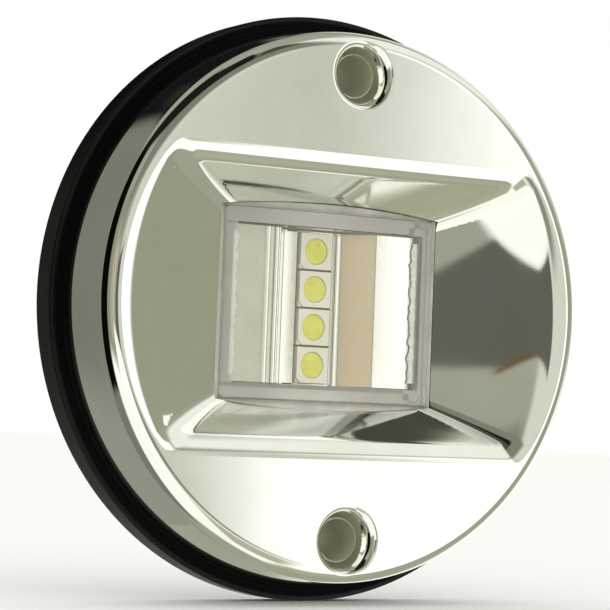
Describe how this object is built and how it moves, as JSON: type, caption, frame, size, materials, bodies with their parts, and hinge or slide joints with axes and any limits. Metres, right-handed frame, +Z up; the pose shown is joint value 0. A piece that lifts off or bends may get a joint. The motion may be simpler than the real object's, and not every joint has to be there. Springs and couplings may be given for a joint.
{
  "type": "navigation light",
  "caption": "Round surface-mount LED stern light: polished stainless cover with a recessed window, clear lens box, LED row, rubber mounting ring and two countersunk screw holes.",
  "frame": {"origin": "centre of the flat back face, on the axis of the round body", "axes": "-Y is the way the light shines, +Y points into the transom it is screwed to, +Z is up with the two screw holes in a vertical line, +X is to the right seen from in front"},
  "size_m": [0.0814, 0.0149, 0.0814],
  "materials": {
    "polished_stainless": "mirror polished",
    "black_rubber": "smooth moulded",
    "black_plastic": "fine moulded grain",
    "clear_plastic": "clear polished polycarbonate",
    "seal_rubber": "soft translucent silicone",
    "resin": "cast epoxy",
    "bright_metallised": "vacuum metallised",
    "adhesive": "clear bubbly bead",
    "circuit_board": "white solder mask",
    "led_body": "moulded white ceramic-filled plastic",
    "phosphor": "yellow silicone gel",
    "solder": "bright tinned",
    "chip_black": "epoxy moulding",
    "sleeve_metal": "dull drawn tube"
  },
  "bodies": {
    "root": {"steel_cover": "polished_stainless", "mounting_gasket": "black_rubber", "back_plate": "black_plastic", "lens": "clear_plastic", "lens_seal": "seal_rubber", "potting_resin": "resin", "reflector_tray": "bright_metallised", "tray_adhesive": "adhesive", "led_board": "circuit_board", "led_package_1": "led_body", "led_package_2": "led_body", "led_package_3": "led_body", "led_package_4": "led_body", "led_phosphor_1": "phosphor", "led_phosphor_2": "phosphor", "led_phosphor_3": "phosphor", "led_phosphor_4": "phosphor", "led_leads": "solder", "resistor_1": "chip_black", "resistor_2": "chip_black", "resistor_3": "chip_black", "resistor_ends": "solder", "polarity_diode": "chip_black", "diode_tabs": "solder", "wire_solder_joints": "solder", "screw_sleeve_upper": "sleeve_metal", "screw_sleeve_lower": "sleeve_metal", "wire_grommet": "black_rubber"}
  },
  "joints": []
}
